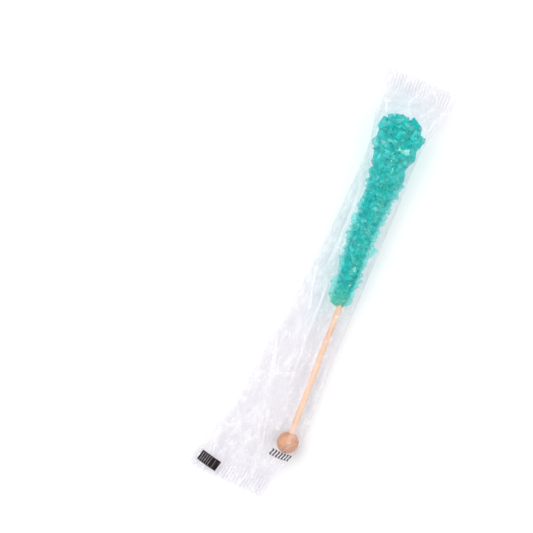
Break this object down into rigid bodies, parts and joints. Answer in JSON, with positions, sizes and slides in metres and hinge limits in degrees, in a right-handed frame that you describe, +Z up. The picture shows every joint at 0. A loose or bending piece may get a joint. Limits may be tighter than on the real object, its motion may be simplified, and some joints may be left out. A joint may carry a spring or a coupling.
{
  "type": "rock candy stick",
  "caption": "Clear flow-wrap pack with crimped, saw-toothed end seals, closed round a blue-green rock candy on a wooden stick with a ball end, lying flat.",
  "frame": {"origin": "middle of the pack's footprint, on the surface it lies on", "axes": "+Z up, away from the flat of the pack's back; +Y along the pack, towards the end that holds the candy; +X across it"},
  "size_m": [0.0458, 0.2258, 0.0207],
  "materials": {
    "film": "thin, clear, glossy packing film with soft creases",
    "candy": "clear blue-green sugar crystals with flat, shiny faces",
    "wood": "smooth pale birch",
    "ink": "black print on the film"
  },
  "bodies": {
    "root": {"film_pack": "film"}
  },
  "joints": []
}
